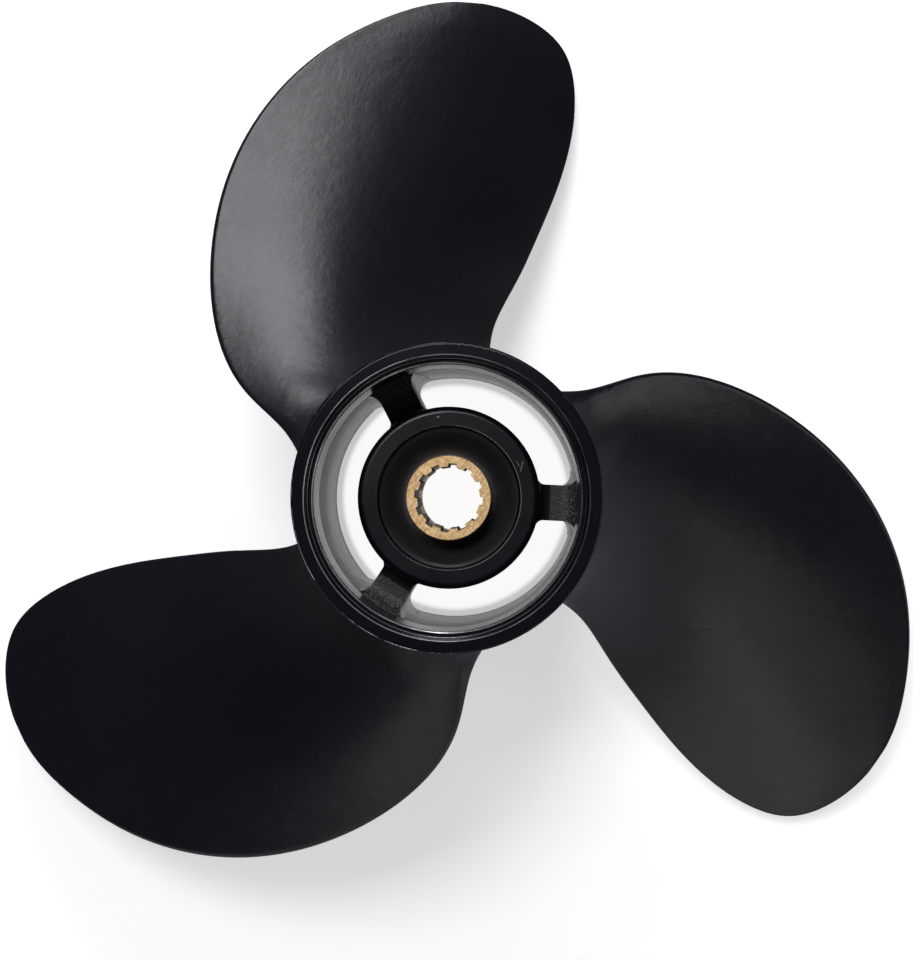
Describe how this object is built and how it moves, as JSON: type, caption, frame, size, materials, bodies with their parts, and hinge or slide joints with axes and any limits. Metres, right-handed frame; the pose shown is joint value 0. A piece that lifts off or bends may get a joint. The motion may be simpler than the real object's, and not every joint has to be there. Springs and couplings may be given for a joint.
{
  "type": "boat propeller",
  "caption": "Outboard boat propeller: raked blades on a barrel with exhaust through the hub, ribs, inner hub, rubber drive bush and splined brass sleeve.",
  "frame": {"origin": "on the shaft axis, in the plane of the sleeve's forward thrust face", "axes": "+Z along the shaft, forward, towards the gearcase; the first blade's tip points to +Y"},
  "size_m": [0.1949, 0.1811, 0.08],
  "materials": {
    "casting": "satin",
    "bush": "matte",
    "sleeve": "machined"
  },
  "bodies": {
    "propeller": {"outer_barrel": "casting", "blade_1": "casting", "blade_2": "casting", "blade_3": "casting", "rib_1": "casting", "rib_2": "casting", "rib_3": "casting", "inner_hub": "casting", "rubber_bush": "bush"},
    "drive_sleeve": {"splined_sleeve": "sleeve"}
  },
  "joints": [
    {"name": "bush_twist", "type": "hinge", "parent": "propeller", "child": "drive_sleeve", "pos_m": [0, 0, 0], "axis": [0, 0, 1], "range_deg": [-10, 10], "stiffness_Nm_per_rad": 60}
  ]
}
